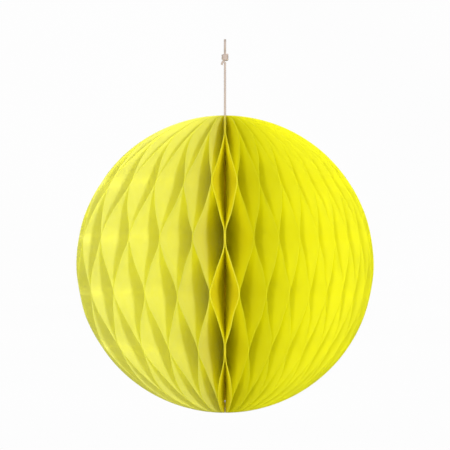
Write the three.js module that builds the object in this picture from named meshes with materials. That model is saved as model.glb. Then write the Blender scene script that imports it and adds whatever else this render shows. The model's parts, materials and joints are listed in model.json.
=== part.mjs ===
// A tissue-paper honeycomb ball that hangs on a thread.
//
// The ball is a fan of half-round leaves bound together along one straight edge, the spine.
// Neighbouring leaves are glued along level lines, and every second gap is glued half a cell
// higher, so that the opened fan makes rows of cells. Opened all the way round, its two cover
// leaves meet at a seam and are held together there by small adhesive dots.
//
// Millimetres, +Z up. The origin is where the eye of the thread bears on whatever it hangs
// from. The seam faces -Y. The angle of a leaf is counted from the seam, through +X.

import * as THREE from 'three';

// Driving dimensions.
const BALL_RADIUS = 50;
const HANG_LENGTH = 25.2; // from the bearing point down to the top of the ball
const LEAVES = 52; // two covers and the sheets between them
const ROW_PITCH = 18.3; // height between one glue line and the next
const GLUE_LINES = 6;

// The fan isn't spread evenly: its gaps are narrowest just right of the seam.
const SPREAD = 0.4; // how much narrower the narrowest gap is than the average one
const NARROWEST_AT = 0.17; // where along the fan that is, as a share of its leaves

// Leaves.
const HUB_RADIUS = 4; // of the leaves' bound edges round the spine
const TIP_WIDTH = 1.5; // of a leaf at its top and bottom ends
const HUB_THICKNESS = 0.08;
const SHEET_THICKNESS = 0.2;
const COVER_THICKNESS = 0.3;
const GLUE_CLEARANCE = 0.25; // between two leaves at a glue line
const POLE_STATION = 0.975; // a last station near each pole, as a share of the radius
const FACE_AHEAD = 2; // which side of a leaf's ring of four points looks at the next leaf

// Spine, thread and closing dots.
const CLEARANCE = 0.3; // between two pieces that touch
const THREAD_RADIUS = 0.4;
const THREAD_SIDES = 8;
const KNOT_RADIUS = 1.3;
const EYE_INNER_RADIUS = 1.5;
const SPINE_RADIUS = 3.5;
const SPINE_HALF_HEIGHT = 46;
const DOT_RADIUS = 2.2;
const DOT_THICKNESS = 0.16;
const DOT_DEPTH = 3.2; // of a dot's centre below the surface of the ball
const ROUND_SIDES = 16;

const material = (color, roughness) => new THREE.MeshStandardMaterial({ color, roughness, metalness: 0 });
const tissue = material(0xe6e405, 0.75);
const cover = material(0xe8d010, 0.65);
const thread = material(0xb9a79c, 0.9);
const glue = material(0xf2ead0, 0.4);

function named(name, geometry, itsMaterial) {
  const mesh = new THREE.Mesh(geometry, itsMaterial);
  mesh.name = name;
  return mesh;
}

/** The angle of the place that is this share of the way round the fan, in radians. */
function fanAngle(share) {
  const turn = 2 * Math.PI;
  const unevenness = Math.sin(turn * (share - NARROWEST_AT)) + Math.sin(turn * NARROWEST_AT);
  return turn * share - SPREAD * unevenness;
}

const leafAngle = (leaf) => fanAngle((leaf + 0.5) / LEAVES);

const rimRadius = (z) => Math.sqrt(BALL_RADIUS ** 2 - z ** 2);

/** The heights at which a leaf's outline is drawn: glue lines, the levels halfway, and the poles. */
function stations() {
  const levels = [];
  for (let z = -ROW_PITCH * (GLUE_LINES - 1) / 2; z <= BALL_RADIUS; z += ROW_PITCH / 2) {
    levels.push(z);
  }
  const inside = levels.filter((z) => Math.abs(z) < POLE_STATION * BALL_RADIUS);
  const tip = Math.sqrt(BALL_RADIUS ** 2 - (HUB_RADIUS + TIP_WIDTH) ** 2);
  const upper = [POLE_STATION * BALL_RADIUS, tip];
  return [...upper.map((z) => -z).reverse(), ...inside, ...upper];
}

/** How far even leaves lean at this height: 1 against the next leaf, -1 against the one before. */
const lean = (z) => -Math.sin(Math.PI * z / ROW_PITCH);

/**
 * One leaf, standing on the -Y side with its next neighbour towards +X. It is straight at the
 * hub and leans at the rim by up to reachAhead towards +X and reachBehind towards -X.
 */
function leafGeometry(leaf, reachAhead, reachBehind, thickness) {
  const side = leaf % 2 === 0 ? 1 : -1;
  const positions = [];
  for (const z of stations()) {
    const rim = rimRadius(z);
    const outward = (rim - HUB_RADIUS) / (BALL_RADIUS - HUB_RADIUS);
    const leaning = side * lean(z);
    const offset = outward * leaning * (leaning > 0 ? reachAhead : reachBehind);
    const atHub = HUB_THICKNESS / 2;
    const atRim = atHub + outward * (thickness - HUB_THICKNESS) / 2;
    positions.push(-atHub, -HUB_RADIUS, z);
    positions.push(offset - atRim, -rim, z);
    positions.push(offset + atRim, -rim, z);
    positions.push(atHub, -HUB_RADIUS, z);
  }
  const geometry = new THREE.BufferGeometry();
  geometry.setAttribute('position', new THREE.Float32BufferAttribute(positions, 3));
  geometry.setIndex(sleeveFaces(positions.length / 12));
  return geometry;
}

/**
 * Triangles of a closed sleeve through rings of four points, from the lowest ring up. Both faces of
 * a leaf are split along the same diagonals, so that it keeps its thickness where it is twisted.
 */
function sleeveFaces(rings) {
  const faces = [0, 3, 2, 0, 2, 1];
  for (let ring = 0; ring < rings - 1; ring += 1) {
    for (let corner = 0; corner < 4; corner += 1) {
      const a = 4 * ring + corner;
      const b = 4 * ring + (corner + 1) % 4;
      const fromNext = [a, b, a + 4, b, b + 4, a + 4];
      const fromThis = [a, b, b + 4, a, b + 4, a + 4];
      faces.push(...(corner === FACE_AHEAD ? fromNext : fromThis));
    }
  }
  const top = 4 * (rings - 1);
  faces.push(top, top + 1, top + 2, top, top + 2, top + 3);
  return faces;
}

/** How far a leaf leans at the rim to meet the leaf across this gap, with room for what lies between. */
function reachAcross(leaf, neighbour) {
  const gap = leafAngle(Math.max(leaf, neighbour)) - leafAngle(Math.min(leaf, neighbour));
  return BALL_RADIUS * gap / 2 - (SHEET_THICKNESS + GLUE_CLEARANCE) / 2;
}

function makeLeaf(leaf) {
  const seamHalfGap = (leafAngle(0) + 2 * Math.PI - leafAngle(LEAVES - 1)) / 2;
  const seamReach = BALL_RADIUS * seamHalfGap - (COVER_THICKNESS + DOT_THICKNESS) / 2 - CLEARANCE;
  const isFirst = leaf === 0;
  const isLast = leaf === LEAVES - 1;
  const reachAhead = isLast ? seamReach : reachAcross(leaf, leaf + 1);
  const reachBehind = isFirst ? seamReach : reachAcross(leaf, leaf - 1);
  const isCover = isFirst || isLast;
  const thickness = isCover ? COVER_THICKNESS : SHEET_THICKNESS;
  const sheetName = `tissue_sheet_${String(leaf).padStart(2, '0')}`;
  const coverName = isFirst ? 'cover_leaf_right' : 'cover_leaf_left';
  const geometry = leafGeometry(leaf, reachAhead, reachBehind, thickness);
  const mesh = named(isCover ? coverName : sheetName, geometry, isCover ? cover : tissue);
  mesh.rotation.z = leafAngle(leaf);
  return mesh;
}

/** The glued and stitched core that holds the leaves' straight edges, with the thread's hole through it. */
function makeSpineBinding() {
  const bore = THREAD_RADIUS + CLEARANCE;
  const profile = [
    new THREE.Vector2(bore, -SPINE_HALF_HEIGHT),
    new THREE.Vector2(SPINE_RADIUS, -SPINE_HALF_HEIGHT),
    new THREE.Vector2(SPINE_RADIUS, SPINE_HALF_HEIGHT),
    new THREE.Vector2(bore, SPINE_HALF_HEIGHT),
    new THREE.Vector2(bore, -SPINE_HALF_HEIGHT),
  ];
  const geometry = new THREE.LatheGeometry(profile, ROUND_SIDES);
  geometry.rotateX(Math.PI / 2);
  return named('spine_binding', geometry, tissue);
}

/** A disc of adhesive between the two covers, at one of the heights where they lean together. */
function makeClosingDot(name, z) {
  const geometry = new THREE.CylinderGeometry(DOT_RADIUS, DOT_RADIUS, DOT_THICKNESS, ROUND_SIDES);
  geometry.rotateZ(Math.PI / 2);
  const dot = named(name, geometry, glue);
  const outward = Math.sqrt((BALL_RADIUS - DOT_DEPTH) ** 2 - z ** 2);
  dot.position.set(0, -outward, z);
  return dot;
}

function makeKnot(name, z) {
  const knot = named(name, new THREE.SphereGeometry(KNOT_RADIUS, ROUND_SIDES, ROUND_SIDES / 2), thread);
  knot.geometry.rotateX(Math.PI / 2);
  knot.position.z = z;
  return knot;
}

/** The eye that a line passes through along X. The top of its opening is the origin. */
function makeHangingLoop() {
  const ringRadius = EYE_INNER_RADIUS + THREAD_RADIUS;
  const geometry = new THREE.TorusGeometry(ringRadius, THREAD_RADIUS, THREAD_SIDES, ROUND_SIDES);
  geometry.rotateY(Math.PI / 2);
  const loop = named('hanging_loop', geometry, thread);
  loop.position.z = -EYE_INNER_RADIUS;
  return loop;
}

function makeThread(top, bottom) {
  const geometry = new THREE.CylinderGeometry(THREAD_RADIUS, THREAD_RADIUS, top - bottom, THREAD_SIDES);
  geometry.rotateX(Math.PI / 2);
  const mesh = named('hanging_thread', geometry, thread);
  mesh.position.z = (top + bottom) / 2;
  return mesh;
}

function makeBall() {
  const ball = new THREE.Group();
  for (let leaf = 0; leaf < LEAVES; leaf += 1) {
    ball.add(makeLeaf(leaf));
  }
  ball.add(makeSpineBinding());
  ball.add(makeClosingDot('closing_dot_top', 2.5 * ROW_PITCH));
  ball.add(makeClosingDot('closing_dot_middle', 0.5 * ROW_PITCH));
  ball.add(makeClosingDot('closing_dot_bottom', -1.5 * ROW_PITCH));
  ball.position.z = -(HANG_LENGTH + BALL_RADIUS);
  return ball;
}

const eyeBottom = -2 * (EYE_INNER_RADIUS + THREAD_RADIUS);
const loopKnotHeight = eyeBottom - CLEARANCE - KNOT_RADIUS;
const footKnotHeight = -HANG_LENGTH - BALL_RADIUS - SPINE_HALF_HEIGHT - CLEARANCE - KNOT_RADIUS;
const knotRoom = KNOT_RADIUS + CLEARANCE;

const model = new THREE.Group();
model.add(makeHangingLoop());
model.add(makeKnot('loop_knot', loopKnotHeight));
model.add(makeThread(loopKnotHeight - knotRoom, footKnotHeight + knotRoom));
model.add(makeKnot('foot_knot', footKnotHeight));
model.add(makeBall());

export default model;
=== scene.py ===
"""A tissue-paper honeycomb ball on its thread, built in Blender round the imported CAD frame.

Everything is in metres, +Z up, with the seam between the ball's two covers facing -Y. An angle
round the ball is counted from the seam, through +X. A height is counted from the ball's centre.
"""

import json
import math
import random

import bmesh
import bpy
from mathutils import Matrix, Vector


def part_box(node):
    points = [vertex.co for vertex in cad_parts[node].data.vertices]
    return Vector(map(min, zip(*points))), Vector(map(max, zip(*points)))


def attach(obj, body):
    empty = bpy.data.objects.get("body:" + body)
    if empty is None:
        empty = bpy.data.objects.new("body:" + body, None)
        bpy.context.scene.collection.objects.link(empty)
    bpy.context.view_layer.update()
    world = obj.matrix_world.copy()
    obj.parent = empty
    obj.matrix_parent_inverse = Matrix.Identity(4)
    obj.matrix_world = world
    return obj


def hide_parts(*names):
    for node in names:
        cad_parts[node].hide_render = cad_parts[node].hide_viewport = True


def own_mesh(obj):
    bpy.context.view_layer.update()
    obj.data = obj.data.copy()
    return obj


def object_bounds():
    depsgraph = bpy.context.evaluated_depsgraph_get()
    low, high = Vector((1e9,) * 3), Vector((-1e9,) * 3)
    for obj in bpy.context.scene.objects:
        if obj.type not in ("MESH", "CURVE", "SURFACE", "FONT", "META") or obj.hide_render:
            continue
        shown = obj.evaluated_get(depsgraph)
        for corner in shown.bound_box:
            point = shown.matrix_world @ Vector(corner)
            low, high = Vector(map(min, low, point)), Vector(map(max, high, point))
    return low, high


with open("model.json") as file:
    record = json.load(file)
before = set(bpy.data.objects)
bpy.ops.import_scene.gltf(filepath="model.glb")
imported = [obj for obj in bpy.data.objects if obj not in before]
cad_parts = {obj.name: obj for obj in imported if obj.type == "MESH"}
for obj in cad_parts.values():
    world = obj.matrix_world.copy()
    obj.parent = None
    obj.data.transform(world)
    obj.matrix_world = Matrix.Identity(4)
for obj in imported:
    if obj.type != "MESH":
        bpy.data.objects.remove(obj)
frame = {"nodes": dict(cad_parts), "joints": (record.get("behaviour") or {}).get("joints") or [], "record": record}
cad_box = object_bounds()

MM = 0.001
UP = Vector((0, 0, 1))

# The ball's paper.
CORE_RADIUS = 1.3 * MM  # of the leaves' bound edges round the spine
SPINE_CLEARANCE = 0.18 * MM  # on average, between the lumpy glue and the leaves' edges
TIP_WIDTH = 0.5 * MM  # of a leaf at its top and bottom ends
SHEET_THICKNESS = 0.06 * MM
COVER_THICKNESS = 0.24 * MM
PRESSED_WITHIN = 8 * MM  # of the axis, where the bound leaves are pressed thinner towards the spine
GLUE_GAP = 0.03 * MM  # between two sheets at a glue line
GLUE_HALF_WIDTH = 0.5 * MM
HEIGHT_JITTER = 0.5 * MM  # of a glue line, by hand and by the way that the fan opened
ANGLE_JITTER = 0.06  # of a glue line, as a share of the gap between two leaves
CRINKLE = 0.0028  # how far a wall bends away between its glue lines, in radians
RIM_WOBBLE = 0.08 * MM
RIM_CURL = 0.45 * MM  # how far a cut edge curls at the ball's widest, and less towards the poles
CURL_BIAS = 0.35  # added to a wave from -1 to 1, so that most rims curl ahead
CURL_WIDTH = 5 * MM  # of the strip along the rim that curls
SHARPNESS = 0.98  # of the bend beside a glue line, below 1
STATIONS = 112  # up a leaf
RADIAL_STEPS = 11  # across a leaf, closer together near its rim
HUB_TOLERANCE = 0.01 * MM  # in telling which points of a CAD leaf lie on its bound edge
LEAF_SEED = 11

# The spine and the closing dots.
SPINE_SIDES = 52
SPINE_RINGS = 60
SPINE_BORE = 0.5 * MM
SPINE_RIB = 0.06 * MM
SPINE_LUMP = 0.1 * MM
SPINE_SEED = 23
DOT_SIDES = 36
DOT_RINGS = 7
DOT_TAPER = 0.96  # 0 is a flat disc, and 1 a drop with a sharp edge
DOT_UNEVENNESS = 0.06  # of its edge, as a share of its radius
DOT_SEED = 5

# The thread and its knots.
THREAD_STRANDS = 3
STRAND_DEPTH = 0.24  # of the grooves between strands, as a share of the thread's radius
SIDES_PER_STRAND = 6
TWIST_PITCH = 2.2 * MM
KNOT_TURNS = 3.25
KNOT_STEPS = 40
KNOT_SPACING = 0.15 * MM  # between the rings of points along the knot's thread
TAIL_LENGTH = 1.6 * MM
LOOP_OPENING = 40  # degrees either side of the eye's lowest point, where its ends run into the knot
LOOP_STEPS = 12
LOOP_SPACING = 0.12 * MM
LOOP_LEG = 0.38 * MM  # from the middle of the knot to each end of the loop
LOOP_BURIED = 1.4 * MM  # how far the loop's ends run into the knot
KNOT_MOUTH = 0.1 * MM  # below the knot's top, where the loop's ends turn straight down
THREAD_STEPS = 30
THREAD_SPACING = 0.25 * MM

joint_at = {joint["name"]: Vector(joint["pos_m"]) for joint in frame["joints"]}
body_of = {
    node: body
    for body, members in frame["record"]["behaviour"]["bodies"].items()
    for node in members
}
ball_centre = joint_at["ball_turn"]


def middle(node):
    """The middle of a CAD node's box."""
    low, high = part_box(node)
    return (low + high) / 2


row_pitch = (middle("closing_dot_middle").z - middle("closing_dot_bottom").z) / 2


# ---------------------------------------------------------------- pieces


SHARP_EDGE = math.radians(50)


def new_piece(name, points, faces, materials):
    """A mesh object with smooth faces and outward normals. A face is (its corners, its material)."""
    mesh = bpy.data.meshes.new(name)
    mesh.from_pydata(points, [], [corners for corners, _ in faces])
    for material in materials:
        mesh.materials.append(material)
    mesh.polygons.foreach_set("material_index", [slot for _, slot in faces])
    mesh.polygons.foreach_set("use_smooth", [True] * len(faces))
    shape = bmesh.new()
    shape.from_mesh(mesh)
    bmesh.ops.recalc_face_normals(shape, faces=shape.faces)
    shape.to_mesh(mesh)
    shape.free()
    mesh.set_sharp_from_angle(angle=SHARP_EDGE)
    piece = bpy.data.objects.new(name, mesh)
    bpy.context.scene.collection.objects.link(piece)
    return piece


def stand_for(piece, node):
    """The piece moves as this CAD node does and is shown instead of it."""
    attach(piece, body_of[node])
    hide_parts(node)


def band(near, far, sides):
    """Faces between two rings of points, each given by the number of its first point."""
    faces = []
    for side in range(sides):
        following = (side + 1) % sides
        faces.append(((near + side, near + following, far + following, far + side), 0))
    return faces


def bands(start, rings, sides):
    """Faces through rings of points, one ring after another from the point with this number."""
    faces = []
    for ring in range(rings - 1):
        faces += band(start + ring * sides, start + (ring + 1) * sides, sides)
    return faces


def fan(tip, ring, sides):
    """Faces from one point to a ring of points, each given by the number of its first point."""
    return [((tip, ring + side, ring + (side + 1) % sides), 0) for side in range(sides)]


def tube_faces(rings, sides):
    """Faces of a tube through rings of points, with a cap on each end."""
    first = tuple(range(sides))
    last = tuple(range((rings - 1) * sides, rings * sides))
    return bands(0, rings, sides) + [(first, 0), (last, 0)]


# ---------------------------------------------------------------- materials


def new_material(name):
    material = bpy.data.materials.new(name)
    material.use_nodes = True
    material.node_tree.nodes.clear()
    return material


def add_node(tree, kind, inputs=None, **settings):
    """A node with these settings. An input is a value or the output of another node."""
    made = tree.nodes.new(kind)
    for key, value in settings.items():
        setattr(made, key, value)
    for key, value in (inputs or {}).items():
        if isinstance(value, bpy.types.NodeSocket):
            tree.links.new(value, made.inputs[key])
        else:
            made.inputs[key].default_value = value
    return made


def object_place(tree, stretch=(1, 1, 1)):
    """The place on the piece, in metres, with its axes stretched for a pattern with a grain."""
    place = add_node(tree, "ShaderNodeTexCoord").outputs["Object"]
    return add_node(tree, "ShaderNodeMapping", {"Vector": place, "Scale": stretch}).outputs[0]


def noise(tree, scale, detail=2.0, roughness=0.5, stretch=(1, 1, 1)):
    place = object_place(tree, stretch)
    settings = {"Vector": place, "Scale": scale, "Detail": detail, "Roughness": roughness}
    return add_node(tree, "ShaderNodeTexNoise", settings).outputs["Fac"]


def maths(tree, operation, *values):
    made = add_node(tree, "ShaderNodeMath", dict(enumerate(values)), operation=operation)
    return made.outputs[0]


def remap(tree, value, low, high, to_low, to_high):
    """The value from low..high, brought smoothly to to_low..to_high and held there outside it."""
    ends = {"Value": value, "From Min": low, "From Max": high, "To Min": to_low, "To Max": to_high}
    made = add_node(tree, "ShaderNodeMapRange", ends, interpolation_type="SMOOTHSTEP")
    return made.outputs[0]


def mix_colours(tree, share, first, second):
    made = add_node(tree, "ShaderNodeMix", {0: share, 6: first, 7: second}, data_type="RGBA")
    return made.outputs[2]


def bump(tree, strength, distance, height):
    """A normal bent by a height, which is the output of a node."""
    settings = {"Strength": strength, "Distance": distance, "Height": height}
    return add_node(tree, "ShaderNodeBump", settings).outputs[0]


def colour(red, green, blue):
    return (red, green, blue, 1.0)


# How much of the deeper colour shows in each part of the paper: the dye's clouds, streaks and glue lines, and a
# painted shade near the spine.
CLOUD_SHADE = 0.16
STREAK_SHADE = 0.07
GLUE_SHADE = 0.06
# Painted shade: the paper turns a deeper, warmer yellow towards the spine, deep in the ball where little light
# reaches.
SPINE_PAINTED_SHADE = 0.4
SPINE_PAINTED_SHADE_WITHIN = 12 * MM  # of the axis

PAPER_BUMP = 0.3
ROUGHNESS_SPREAD = 0.05


def glue_strip(tree):
    """1 on the heights of the glue lines and 0 elsewhere."""
    height = add_node(tree, "ShaderNodeSeparateXYZ", {0: object_place(tree)}).outputs["Z"]
    from_centre = maths(tree, "SUBTRACT", height, ball_centre.z)
    in_pitches = maths(tree, "DIVIDE", from_centre, row_pitch)
    from_line = maths(tree, "PINGPONG", maths(tree, "SUBTRACT", in_pitches, 0.5), 0.5)
    width = GLUE_HALF_WIDTH / row_pitch
    return remap(tree, from_line, width, 2.6 * width, 1.0, 0.0)


def painted_shade_near_spine(tree):
    """Painted shade: 1 at the spine, fading to 0 a quarter of the way out."""
    across = object_place(tree, (1, 1, 0))
    from_axis = add_node(tree, "ShaderNodeVectorMath", {0: across}, operation="LENGTH")
    return remap(tree, from_axis.outputs["Value"], CORE_RADIUS, SPINE_PAINTED_SHADE_WITHIN, 1.0, 0.0)


def paper_bump(tree):
    """Crinkles a few millimetres long over a fine fibrous grain."""
    crinkle = noise(tree, scale=420, detail=3.0, roughness=0.55, stretch=(1, 1, 0.45))
    grain = noise(tree, scale=5200, detail=2.0, roughness=0.6, stretch=(1, 1, 0.35))
    height = maths(tree, "MULTIPLY_ADD", grain, 0.22, crinkle)
    return bump(tree, PAPER_BUMP, 0.12 * MM, height)


def paper_colour(tree, main, deep):
    """Dyed tissue: cloudy where its fibres lie thicker, denser where it is glued, with a painted shade, a deeper
    and warmer yellow, deep inside towards the spine.
    """
    cloud = noise(tree, scale=300, detail=5.0, roughness=0.6)
    streak = noise(tree, scale=1500, detail=3.0, roughness=0.6, stretch=(1, 1, 0.12))
    clouded = mix_colours(tree, remap(tree, cloud, 0.32, 0.68, 0.0, 1.0), main, deep)
    soft = mix_colours(tree, CLOUD_SHADE, main, clouded)
    streaked = mix_colours(tree, remap(tree, streak, 0.3, 0.7, 0.0, STREAK_SHADE), soft, deep)
    glued = mix_colours(tree, maths(tree, "MULTIPLY", glue_strip(tree), GLUE_SHADE), streaked, deep)
    # Painted shade towards the spine.
    return mix_colours(tree, maths(tree, "MULTIPLY", painted_shade_near_spine(tree), SPINE_PAINTED_SHADE), glued, deep)


def paper(name, main, deep, lets_through, roughness, specular, sheen):
    """Thin paper that scatters some of the light that falls on it out through its other side."""
    material = new_material(name)
    tree = material.node_tree
    dye = paper_colour(tree, main, deep)
    normal = paper_bump(tree)
    grain = noise(tree, scale=2400, detail=2.0, roughness=0.5)
    smoothest, roughest = roughness - ROUGHNESS_SPREAD, roughness + ROUGHNESS_SPREAD
    front = add_node(
        tree,
        "ShaderNodeBsdfPrincipled",
        {
            "Base Color": dye,
            "Roughness": remap(tree, grain, 0.3, 0.7, smoothest, roughest),
            "Specular IOR Level": specular,
            "Sheen Weight": sheen,
            "Sheen Roughness": 0.6,
            "Normal": normal,
        },
    )
    through = add_node(tree, "ShaderNodeBsdfTranslucent", {"Color": dye, "Normal": normal})
    mixed = add_node(
        tree,
        "ShaderNodeMixShader",
        {0: lets_through, 1: front.outputs[0], 2: through.outputs[0]},
    )
    add_node(tree, "ShaderNodeOutputMaterial", {"Surface": mixed.outputs[0]})
    return material


def solid(name, main, roughness, specular, surface):
    """An opaque finish. main and surface add its colour and its normal to a node tree."""
    material = new_material(name)
    tree = material.node_tree
    front = add_node(
        tree,
        "ShaderNodeBsdfPrincipled",
        {
            "Base Color": main(tree),
            "Roughness": roughness,
            "Specular IOR Level": specular,
            "Normal": surface(tree),
        },
    )
    add_node(tree, "ShaderNodeOutputMaterial", {"Surface": front.outputs[0]})
    return material


TISSUE = colour(0.996, 0.988, 0.035)
# Paler than TISSUE: a painted sheen, the pale highlight of light on the glazed side set into its colour.
TISSUE_PAINTED_SHEEN = colour(0.996, 0.99, 0.24)
TISSUE_DEEP = colour(0.996, 0.98, 0.0)
COVER = colour(0.996, 0.955, 0.04)
COVER_DEEP = colour(0.996, 0.9, 0.004)

tissue_matte = paper(
    "tissue_matte_side", TISSUE, TISSUE_DEEP, lets_through=0.78, roughness=0.68, specular=0.12, sheen=0.0
)
# The glazed side is glossier, and its paler colour is a painted sheen.
glazed_tissue_painted_sheen = paper(
    "tissue_glazed_side_painted_sheen",
    TISSUE_PAINTED_SHEEN,
    TISSUE_DEEP,
    lets_through=0.68,
    roughness=0.48,
    specular=0.7,
    sheen=0.1,
)
cover_matte = paper(
    "cover_matte_side", COVER, COVER_DEEP, lets_through=0.72, roughness=0.6, specular=0.2, sheen=0.0
)
cover_glazed = paper(
    "cover_glazed_side", COVER, COVER_DEEP, lets_through=0.72, roughness=0.5, specular=0.35, sheen=0.0
)


GLUE_PALE = colour(0.92, 0.74, 0.02)
GLUE_DARK = colour(0.82, 0.56, 0.01)
THREAD_PALE = colour(0.56, 0.45, 0.38)
THREAD_DARK = colour(0.33, 0.25, 0.21)
ADHESIVE_PALE = colour(0.8, 0.56, 0.12)
ADHESIVE_DARK = colour(0.62, 0.38, 0.05)


def glued_core_colour(tree):
    return mix_colours(tree, noise(tree, scale=700, detail=4.0), GLUE_PALE, GLUE_DARK)


def glued_core_bump(tree):
    return bump(tree, 0.5, 0.2 * MM, noise(tree, scale=1600, detail=3.0))


def thread_colour(tree):
    hairs = noise(tree, scale=5000, detail=3.0, roughness=0.6, stretch=(1, 1, 0.3))
    return mix_colours(tree, hairs, THREAD_PALE, THREAD_DARK)


def thread_bump(tree):
    hairs = noise(tree, scale=9000, detail=2.0, roughness=0.6, stretch=(1, 1, 0.25))
    return bump(tree, 0.6, 0.06 * MM, hairs)


def adhesive_colour(tree):
    return mix_colours(tree, noise(tree, scale=900, detail=3.0), ADHESIVE_PALE, ADHESIVE_DARK)


def adhesive_bump(tree):
    return bump(tree, 0.15, 0.1 * MM, noise(tree, scale=1200, detail=2.0))


core_finish = solid("glued_spine", glued_core_colour, 0.7, 0.2, glued_core_bump)
thread_finish = solid("spun_thread", thread_colour, 0.85, 0.2, thread_bump)
adhesive_finish = solid("adhesive", adhesive_colour, 0.3, 0.5, adhesive_bump)


# ---------------------------------------------------------------- leaves


def leaf_nodes():
    """The CAD's leaves in order round the ball, from the cover right of the seam."""
    sheets = sorted(node for node in frame["nodes"] if node.startswith("tissue_sheet"))
    return ["cover_leaf_right", *sheets, "cover_leaf_left"]


def around(point):
    """The angle of a point round the ball, from 0 to a full turn."""
    return math.atan2(point.x, -point.y) % (2 * math.pi)


def stands_at(node):
    """The angle at which a CAD leaf leaves the spine."""
    points = [vertex.co for vertex in frame["nodes"][node].data.vertices]
    hub = min(point.xy.length for point in points)
    bound = [point for point in points if point.xy.length < hub + HUB_TOLERANCE]
    return around(sum(bound, Vector()) / len(bound))


def farthest_from_centre(nodes):
    return max((v.co - ball_centre).length for node in nodes for v in frame["nodes"][node].data.vertices)


LEAVES = leaf_nodes()
leaf_angle = [stands_at(node) for node in LEAVES]
ball_radius = farthest_from_centre(LEAVES)
dot_low, dot_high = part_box("closing_dot_middle")
dot_thickness = dot_high.x - dot_low.x
dot_radius = (dot_high.z - dot_low.z) / 2


def glue_levels():
    """Each glue line's number and height. The first and last lie past the poles."""
    last = math.ceil(ball_radius / row_pitch)
    return [(line, (line + 0.5) * row_pitch) for line in range(-last - 1, last + 1)]


def is_seam(gap):
    return gap % len(LEAVES) == len(LEAVES) - 1


def glue_lines(chance):
    """Where the leaves either side of each gap meet: {(gap, line): (height, angle)}.

    A gap is named after the leaf before it, and it is glued at every second line.
    """
    places = {}
    for gap in range(len(LEAVES)):
        before = leaf_angle[gap]
        after = leaf_angle[(gap + 1) % len(LEAVES)]
        width = (after - before) % (2 * math.pi)
        for line, height in glue_levels():
            if (gap + line) % 2 == 0:
                continue
            loose = 0 if is_seam(gap) else 1
            up = loose * chance.uniform(-1, 1) * HEIGHT_JITTER
            along = loose * chance.uniform(-1, 1) * ANGLE_JITTER
            places[gap, line] = (height + up, before + width * (0.5 + along))
    return places


class Wave:
    """A smooth random bend over a leaf, from -1 to 1, the same every time for the same chance."""

    def __init__(self, chance, parts=5):
        self.parts = [
            (
                chance.uniform(0.4, 1.6) / row_pitch,
                chance.uniform(-1.2, 1.2) / ball_radius,
                chance.uniform(0, 2 * math.pi),
            )
            for _ in range(parts)
        ]

    def at(self, height, reach):
        turns = (2 * math.pi * (height * up + reach * out) + start for up, out, start in self.parts)
        return sum(math.sin(turn) for turn in turns) / len(self.parts)


def eased(share):
    """From 0 to 1: nearly straight, with a short bend at each end."""
    bend = math.asin(SHARPNESS * math.cos(math.pi * share))
    return 0.5 - bend / (2 * math.asin(SHARPNESS))


class LeafPath:
    """The way one leaf runs from glue line to glue line, up the ball."""

    def __init__(self, leaf, places, thickness):
        self.stops = []
        for line, _ in glue_levels():
            ahead = (leaf + line) % 2 == 1
            gap = leaf if ahead else (leaf - 1) % len(LEAVES)
            height, angle = places[gap, line]
            between = dot_thickness if is_seam(gap) else GLUE_GAP
            flat = dot_radius if is_seam(gap) else GLUE_HALF_WIDTH
            aside = (thickness + between) / 2 * (-1 if ahead else 1)
            if leaf == 0 and not ahead:
                angle -= 2 * math.pi
            self.stops.append((height, angle, aside, flat))

    def at(self, height):
        """(angle, shift aside, looseness) at this height. Looseness is 0 on a glue line."""
        for below, above in zip(self.stops, self.stops[1:]):
            low, low_angle, low_aside, low_flat = below
            high, high_angle, high_aside, high_flat = above
            if height <= high:
                free = (high - low) - low_flat - high_flat
                share = min(max((height - low - low_flat) / free, 0.0), 1.0)
                part = eased(share)
                turned = low_angle + (high_angle - low_angle) * part
                moved = low_aside + (high_aside - low_aside) * part
                return turned, moved, 4 * share * (1 - share)
        raise ValueError("the height is past the last glue line")


def leaf_stations():
    """Latitudes from the bottom of a leaf to its top."""
    last = math.acos((CORE_RADIUS + TIP_WIDTH) / ball_radius)
    return [last * (2 * station / STATIONS - 1) for station in range(STATIONS + 1)]


def leaf_points(path, thickness, chance):
    """Rings of points round the leaf, one at each station: its back from hub to rim, then its front."""
    bend, rim_bend, curl = Wave(chance), Wave(chance), Wave(chance)
    points = []
    for latitude in leaf_stations():
        height = ball_radius * math.sin(latitude)
        angle, aside, loose = path.at(height)
        wobble = RIM_WOBBLE * rim_bend.at(height, 0) * loose
        rim = ball_radius * math.cos(latitude) + wobble
        back, front = [], []
        for step in range(RADIAL_STEPS + 1):
            reach = CORE_RADIUS + (rim - CORE_RADIUS) * math.sin(math.pi / 2 * step / RADIAL_STEPS)
            turned = angle + CRINKLE * loose * bend.at(height, reach)
            outward = Vector((math.sin(turned), -math.cos(turned), 0))
            ahead = Vector((math.cos(turned), math.sin(turned), 0))
            near_rim = max(0.0, 1 - (rim - reach) / CURL_WIDTH)
            curl_here = CURL_BIAS + curl.at(height, 0)
            curled = RIM_CURL * rim / ball_radius * loose * near_rim**2 * curl_here
            pressed = min(1.0, reach / PRESSED_WITHIN)
            sideways = aside * pressed + curled
            between_faces = ball_centre + outward * reach + ahead * sideways + UP * height
            half = ahead * pressed * thickness / 2
            back.append(between_faces - half)
            front.append(between_faces + half)
        points.extend(back + front[::-1])
    return points


def leaf_faces():
    """Faces through a leaf's rings. Material 0 is on the face that looks ahead, 1 on the rest."""
    across = RADIAL_STEPS + 1
    sides = 2 * across
    faces = []
    for ring in range(STATIONS):
        for side in range(sides):
            a = ring * sides + side
            b = ring * sides + (side + 1) % sides
            faces.append(((a, b, b + sides, a + sides), 0 if across <= side < sides - 1 else 1))
    for ring in (0, STATIONS):
        for step in range(RADIAL_STEPS):
            a = ring * sides + step
            far = ring * sides + sides - 1 - step
            faces.append(((a, a + 1, far - 1, far), 1))
    return faces


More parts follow.
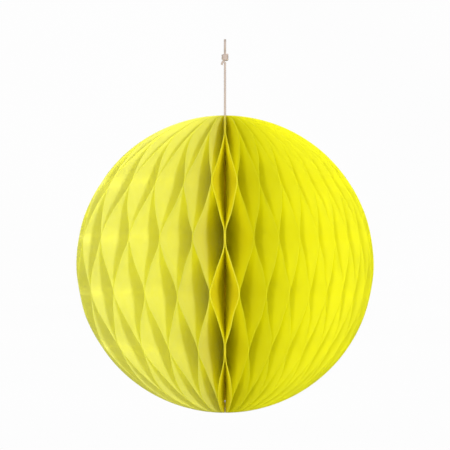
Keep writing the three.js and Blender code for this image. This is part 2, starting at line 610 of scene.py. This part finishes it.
def make_leaf(leaf, places, chance):
    node = LEAVES[leaf]
    is_cover = node.startswith("cover")
    thickness = COVER_THICKNESS if is_cover else SHEET_THICKNESS
    finish = (cover_glazed, cover_matte) if is_cover else (glazed_tissue_painted_sheen, tissue_matte)
    path = LeafPath(leaf, places, thickness)
    piece = new_piece(f"{node}_paper", leaf_points(path, thickness, chance), leaf_faces(), finish)
    stand_for(piece, node)
    fold_flat(piece)


def fold_flat(piece):
    """Gives the piece a mesh of its own."""
    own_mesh(piece)


def make_leaves():
    chance = random.Random(LEAF_SEED)
    places = glue_lines(chance)
    for leaf in range(len(LEAVES)):
        make_leaf(leaf, places, chance)


# ---------------------------------------------------------------- spine and dots


def make_spine():
    """The leaves' bound edges, ribbed and stiff with glue, with the thread's hole down the middle."""
    low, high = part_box("spine_binding")
    lumps = Wave(random.Random(SPINE_SEED), 7)
    points = []
    for is_outside in (True, False):
        for ring in range(SPINE_RINGS):
            share = ring / (SPINE_RINGS - 1)
            height = low.z + (high.z - low.z) * (share if is_outside else 1 - share)
            for side in range(SPINE_SIDES):
                turn = 2 * math.pi * side / SPINE_SIDES
                rib = SPINE_RIB * (1 if side % 2 else -1)
                lump = SPINE_LUMP * lumps.at(height * 4, turn * ball_radius / 3)
                radius = CORE_RADIUS - SPINE_CLEARANCE + rib + lump if is_outside else SPINE_BORE
                points.append(Vector((radius * math.cos(turn), radius * math.sin(turn), height)))
    last_ring = (2 * SPINE_RINGS - 1) * SPINE_SIDES
    faces = bands(0, 2 * SPINE_RINGS, SPINE_SIDES) + band(last_ring, 0, SPINE_SIDES)
    piece = new_piece("spine_binding_glued", points, faces, [core_finish])
    stand_for(piece, "spine_binding")


def dot_points(centre, edge):
    """The middles of a dot's two faces, and then rings from the middle to the edge of each face."""
    half = Vector((dot_thickness / 2, 0, 0))
    points = [centre + half, centre - half]
    for face in (1, -1):
        for ring in range(1, DOT_RINGS):
            share = ring / (DOT_RINGS - 1)
            bulge = face * dot_thickness / 2 * math.sqrt(1 - DOT_TAPER * share**2)
            for side in range(DOT_SIDES):
                turn = 2 * math.pi * side / DOT_SIDES
                wave = edge.at(row_pitch * math.cos(turn), ball_radius * math.sin(turn))
                radius = dot_radius * share * (1 - DOT_UNEVENNESS * (1 + wave))
                points.append(centre + Vector((bulge, radius * math.cos(turn), radius * math.sin(turn))))
    return points


def dot_faces():
    rings = DOT_RINGS - 1
    starts = (2, 2 + rings * DOT_SIDES)
    faces = []
    for face, start in enumerate(starts):
        faces += fan(face, start, DOT_SIDES) + bands(start, rings, DOT_SIDES)
    front_edge, back_edge = (start + (rings - 1) * DOT_SIDES for start in starts)
    return faces + band(front_edge, back_edge, DOT_SIDES)


def make_dot(node, chance):
    """A flattened drop of adhesive between the two covers, thinner at its uneven edge."""
    points = dot_points(middle(node), Wave(chance))
    piece = new_piece(f"{node}_adhesive", points, dot_faces(), [adhesive_finish])
    stand_for(piece, node)
    fold_flat(piece)


def make_dots():
    chance = random.Random(DOT_SEED)
    for place in ("top", "middle", "bottom"):
        make_dot(f"closing_dot_{place}", chance)


# ---------------------------------------------------------------- thread


thread_low, thread_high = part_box("hanging_thread")
thread_radius = (thread_high.x - thread_low.x) / 2


def smooth_path(points, spacing):
    """Points about this far apart on a smooth curve through the given ones."""
    padded = [2 * points[0] - points[1], *points, 2 * points[-1] - points[-2]]
    path = []
    for before, start, end, after in zip(padded, padded[1:], padded[2:], padded[3:]):
        steps = max(1, round((end - start).length / spacing))
        for step in range(steps):
            t = step / steps
            path.append(
                0.5
                * (
                    2 * start
                    + (end - before) * t
                    + (2 * before - 5 * start + 4 * end - after) * t**2
                    + (3 * start - before - 3 * end + after) * t**3
                )
            )
    return path + [points[-1]]


def make_rope(name, path):
    """A spun thread along a path: its strands show as lobes that wind round it."""
    sides = SIDES_PER_STRAND * THREAD_STRANDS
    points = []
    across = None
    run = 0.0
    for index, point in enumerate(path):
        following = path[min(index + 1, len(path) - 1)]
        previous = path[max(index - 1, 0)]
        forward = (following - previous).normalized()
        if across is None:
            across = forward.orthogonal()
        across = (across - forward * across.dot(forward)).normalized()
        up = forward.cross(across)
        run += (point - previous).length
        for side in range(sides):
            turn = 2 * math.pi * side / sides
            lobe = abs(math.cos(THREAD_STRANDS * (turn - 2 * math.pi * run / TWIST_PITCH) / 2))
            reach = thread_radius * (1 - STRAND_DEPTH + STRAND_DEPTH * lobe)
            points.append(point + across * reach * math.cos(turn) + up * reach * math.sin(turn))
    return new_piece(name, points, tube_faces(len(path), sides), [thread_finish])


def make_loop():
    """The eye at the top: the thread goes round whatever it hangs from and back into its knot."""
    low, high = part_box("hanging_loop")
    knot_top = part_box("loop_knot")[1].z
    radius = (high.z - low.z) / 2 - thread_radius
    centre = middle("hanging_loop")
    deep, mouth = knot_top - LOOP_BURIED, knot_top - KNOT_MOUTH
    points = [Vector((0, LOOP_LEG, deep)), Vector((0, LOOP_LEG, mouth))]
    for step in range(LOOP_STEPS + 1):
        turn = math.radians(LOOP_OPENING + (360 - 2 * LOOP_OPENING) * step / LOOP_STEPS)
        points.append(centre + Vector((0, radius * math.sin(turn), -radius * math.cos(turn))))
    points += [Vector((0, -LOOP_LEG, mouth)), Vector((0, -LOOP_LEG, deep))]
    piece = make_rope("hanging_loop_spun", smooth_path(points, LOOP_SPACING))
    stand_for(piece, "hanging_loop")
    return piece


def make_knot(node, tail_spread):
    """Turns of thread wound tight round the line, with a cut tail.

    The tail hangs down, and spreads sideways by tail_spread times its length.
    """
    low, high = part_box(node)
    centre = middle(node)
    wound = (high.x - low.x) / 2 - thread_radius - 0.1 * MM
    half_height = (high.z - low.z) / 2 - thread_radius
    full_turn = 2 * math.pi * KNOT_TURNS
    points = []
    for step in range(KNOT_STEPS + 1):
        turn = full_turn * step / KNOT_STEPS
        height = half_height * (1 - 2 * step / KNOT_STEPS)
        points.append(centre + Vector((wound * math.cos(turn), wound * math.sin(turn), height)))
    end = points[-1]
    sideways = Vector((-math.sin(full_turn), math.cos(full_turn), 0)) * tail_spread * TAIL_LENGTH
    points.append(end + sideways * 0.7 - UP * 0.4 * TAIL_LENGTH)
    points.append(end + sideways - UP * TAIL_LENGTH)
    piece = make_rope(f"{node}_wound", smooth_path(points, KNOT_SPACING))
    stand_for(piece, node)
    return piece


def make_thread(ends):
    """The line itself, from its upper knot down through the spine to its lower one."""
    top = Vector((0, 0, thread_high.z))
    bottom = Vector((0, 0, thread_low.z))
    route = [top.lerp(bottom, step / THREAD_STEPS) for step in range(THREAD_STEPS + 1)]
    piece = make_rope("hanging_thread_spun", smooth_path(route, THREAD_SPACING))
    stand_for(piece, "hanging_thread")


# ---------------------------------------------------------------- studio


FRAME_HEIGHT = 0.152  # what the camera sees at the ball
LENS = 200  # mm: the photograph has hardly any perspective
SENSOR = 36
FLOOR_BELOW = 0.06  # the lowest point of the object
COVE_RADIUS = 4.0  # of the level floor
COVE_BEND = 1.0  # radius of the bend from floor to dome
DOME_RADIUS = COVE_RADIUS + COVE_BEND
COVE_SIDES = 96
FLOOR_STEPS = 6
BEND_STEPS = 12
COVE_GLOW = 0.99
LAMP_DISTANCE = 1.3
SURROUNDINGS = 0.3  # brightness of the white world round the scene
GAMMA = 1.25
BOUNCES = 24


def make_camera():
    """Level with the middle of the object and square to the seam, as the photograph is."""
    data = bpy.data.cameras.new("camera")
    data.lens = LENS
    data.sensor_width = SENSOR
    camera = bpy.data.objects.new("camera", data)
    low, high = cad_box
    away = FRAME_HEIGHT * LENS / SENSOR
    camera.location = (0, -away, (low.z + high.z) / 2)
    camera.rotation_euler = (math.radians(90), 0, 0)
    bpy.context.scene.collection.objects.link(camera)
    bpy.context.scene.camera = camera


def cove_finish():
    """The even white of a light table, whatever the lamps do."""
    material = new_material("white_cove")
    tree = material.node_tree
    white = mix_colours(tree, noise(tree, scale=2.0), colour(0.98, 0.98, 0.98), colour(1, 1, 1))
    glow = add_node(tree, "ShaderNodeEmission", {"Color": white, "Strength": COVE_GLOW})
    add_node(tree, "ShaderNodeOutputMaterial", {"Surface": glow.outputs[0]})
    return material


def cove_profile():
    """(radius, height) of rings out along the floor, round its bend and up the dome, without the top."""
    profile = [(COVE_RADIUS * step / FLOOR_STEPS, 0.0) for step in range(1, FLOOR_STEPS)]
    for step in range(BEND_STEPS + 1):
        turn = math.radians(90 * step / BEND_STEPS)
        profile.append((COVE_RADIUS + COVE_BEND * math.sin(turn), COVE_BEND * (1 - math.cos(turn))))
    for step in range(1, BEND_STEPS):
        turn = math.radians(90 * step / BEND_STEPS)
        profile.append((DOME_RADIUS * math.cos(turn), COVE_BEND + DOME_RADIUS * math.sin(turn)))
    return profile


def make_cove():
    """A pale floor that turns up into a dome. Only the camera sees it, so it casts no light on the ball."""
    floor_height = cad_box[0].z - FLOOR_BELOW
    profile = cove_profile()
    points = [Vector((0, 0, floor_height)), Vector((0, 0, floor_height + COVE_BEND + DOME_RADIUS))]
    for radius, height in profile:
        for side in range(COVE_SIDES):
            turn = 2 * math.pi * side / COVE_SIDES
            points.append(Vector((radius * math.cos(turn), radius * math.sin(turn), floor_height + height)))
    top_ring = len(points) - COVE_SIDES
    faces = fan(0, 2, COVE_SIDES) + fan(1, top_ring, COVE_SIDES) + bands(2, len(profile), COVE_SIDES)
    cove = new_piece("cove", points, faces, [cove_finish()])
    cove.visible_diffuse = False
    cove.visible_glossy = False
    cove.visible_transmission = False
    cove.visible_shadow = False


def add_light(name, azimuth, elevation, size, power):
    """A soft square lamp that looks at the ball. Azimuth is from the camera's side, through +X."""
    data = bpy.data.lights.new(name, "AREA")
    data.shape = "SQUARE"
    data.size = size
    data.energy = power
    lamp = bpy.data.objects.new(name, data)
    a, e = math.radians(azimuth), math.radians(elevation)
    towards = Vector((math.sin(a) * math.cos(e), -math.cos(a) * math.cos(e), math.sin(e)))
    lamp.location = ball_centre + towards * LAMP_DISTANCE
    lamp.rotation_euler = towards.to_track_quat("Z", "Y").to_euler()
    lamp.visible_camera = False
    bpy.context.scene.collection.objects.link(lamp)


def make_light():
    """A key right of the camera, a fill left of it and a back light. Light tissue takes many bounces."""
    world = bpy.data.worlds.new("white_surroundings")
    world.use_nodes = True
    background = world.node_tree.nodes["Background"]
    background.inputs["Color"].default_value = colour(1, 1, 1)
    background.inputs["Strength"].default_value = SURROUNDINGS
    scene = bpy.context.scene
    scene.world = world
    add_light("key", azimuth=15, elevation=6, size=0.12, power=12.0)
    add_light("fill", azimuth=-10, elevation=4, size=0.12, power=7.5)
    add_light("back", azimuth=180, elevation=25, size=0.8, power=14.0)
    scene.view_settings.view_transform = "Standard"
    scene.view_settings.gamma = GAMMA
    scene.cycles.max_bounces = BOUNCES
    scene.cycles.diffuse_bounces = BOUNCES


make_camera()
make_thread([make_loop(), make_knot("loop_knot", tail_spread=0.7), make_knot("foot_knot", tail_spread=0.0)])
make_spine()
make_leaves()
make_dots()
make_cove()
make_light()
